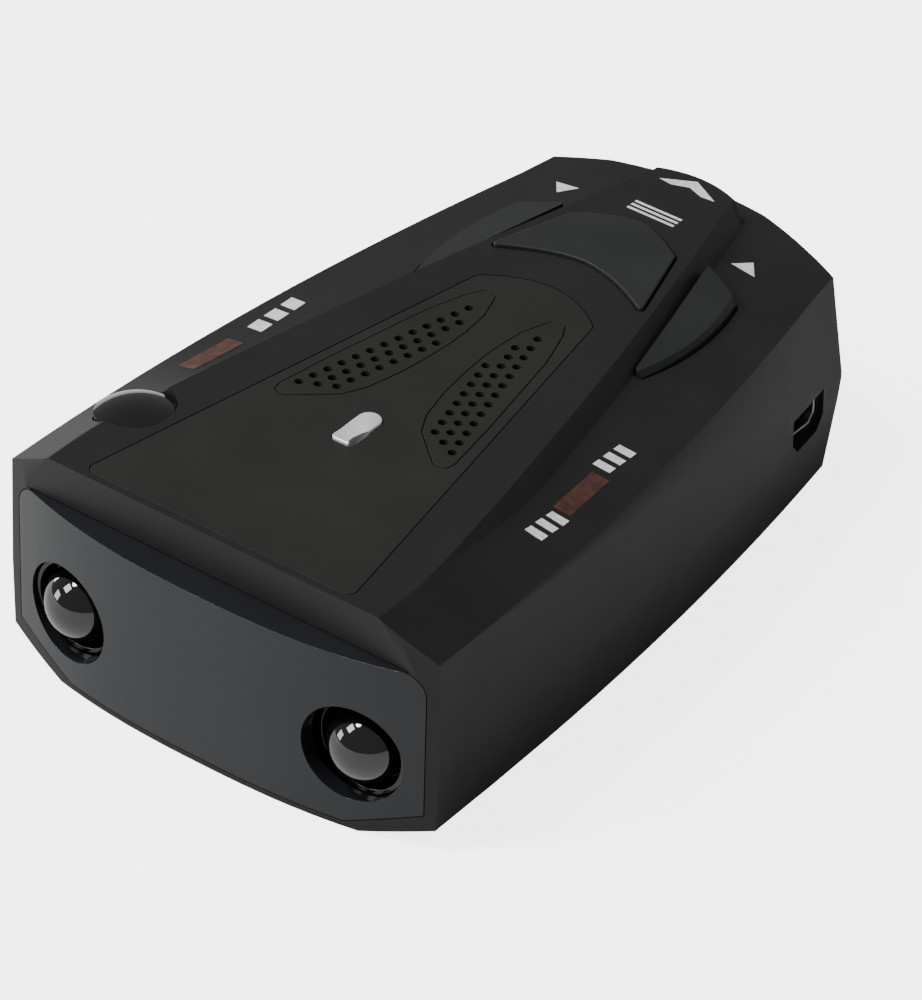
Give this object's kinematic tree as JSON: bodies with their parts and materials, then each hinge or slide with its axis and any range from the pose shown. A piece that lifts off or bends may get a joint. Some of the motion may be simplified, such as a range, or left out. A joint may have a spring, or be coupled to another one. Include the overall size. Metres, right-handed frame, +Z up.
{
  "type": "radar detector",
  "caption": "Dashboard radar detector with bowed gloss visor, recessed beam lenses, tapered roof with speaker grilles, sprung buttons and a display window.",
  "frame": {"origin": "middle of the underside's bounding rectangle, on the surface the case stands on", "axes": "-Y out of the front visor, +Y out of the display window, +X to the power socket's side, +Z up"},
  "size_m": [0.062, 0.099, 0.0313],
  "materials": {
    "case_plastic": "fine satin texture",
    "visor_gloss": "polished",
    "window_smoke": "polished smoked red",
    "panel_plastic": "fine satin texture",
    "silver_trim": "satin silver",
    "key_plastic": "satin",
    "cup_black": "semi-gloss black",
    "lens_gloss": "polished",
    "component_black": "moulded",
    "board_green": "solder mask",
    "horn_metal": "die cast zinc",
    "tin": "tinned",
    "can_aluminium": "satin",
    "plunger_plastic": "moulded",
    "foam": "closed-cell foam",
    "speaker_steel": "plated",
    "rubber_black": "matte",
    "cone_black": "film",
    "lead_red": "insulation",
    "screw_black": "black oxide",
    "screw_steel": "zinc plated"
  },
  "bodies": {
    "case": {"top_shell": "case_plastic", "bottom_shell": "case_plastic", "front_visor": "visor_gloss", "rear_window": "window_smoke", "speaker_panel": "panel_plastic", "grille_left": "panel_plastic", "grille_right": "panel_plastic", "light_window": "silver_trim", "lens_cup_left": "cup_black", "lens_cup_right": "cup_black", "beam_lens_left": "lens_gloss", "beam_lens_right": "lens_gloss", "beam_diode_left": "component_black", "beam_diode_right": "component_black", "roof_sensor_lens": "lens_gloss", "roof_sensor_holder": "cup_black", "roof_sensor_diode": "component_black", "main_board": "board_green", "key_board": "board_green", "display_board": "board_green", "display_module": "component_black", "display_light_shield": "cup_black", "horn_antenna": "horn_metal", "rf_shield": "tin", "processor_chip": "component_black", "voice_chip": "component_black", "capacitors": "can_aluminium", "inductor": "component_black", "crystal": "tin", "board_connector": "component_black", "light_sensor": "component_black", "menu_switch": "component_black", "up_switch": "component_black", "down_switch": "component_black", "speaker_gasket": "foam", "speaker_frame": "speaker_steel", "speaker_magnet": "speaker_steel", "speaker_surround": "rubber_black", "speaker_leads": "lead_red", "power_socket_shell": "tin", "power_socket_tongue": "component_black", "case_screws": "screw_black", "board_screws": "screw_steel", "horn_screws": "screw_steel", "key_board_screws": "screw_steel", "base_pad": "rubber_black"},
    "menu_key": {"menu_button": "key_plastic", "menu_plunger": "plunger_plastic"},
    "up_key": {"up_button": "key_plastic", "up_plunger": "plunger_plastic"},
    "down_key": {"down_button": "key_plastic", "down_plunger": "plunger_plastic"},
    "diaphragm": {"speaker_diaphragm": "cone_black"}
  },
  "joints": [
    {"name": "menu_press", "type": "slide", "parent": "case", "child": "menu_key", "axis": [0, 0, -1], "range_m": [0, 0.00035], "stiffness_N_per_m": 2500, "springref_m": -0.0003},
    {"name": "up_press", "type": "slide", "parent": "case", "child": "up_key", "axis": [0, 0, -1], "range_m": [0, 0.00035], "stiffness_N_per_m": 2500, "springref_m": -0.0003},
    {"name": "down_press", "type": "slide", "parent": "case", "child": "down_key", "axis": [0, 0, -1], "range_m": [0, 0.00035], "stiffness_N_per_m": 2500, "springref_m": -0.0003},
    {"name": "diaphragm_stroke", "type": "slide", "parent": "case", "child": "diaphragm", "axis": [0, 0, 1], "range_m": [-0.0002, 0.0002], "stiffness_N_per_m": 1500}
  ]
}
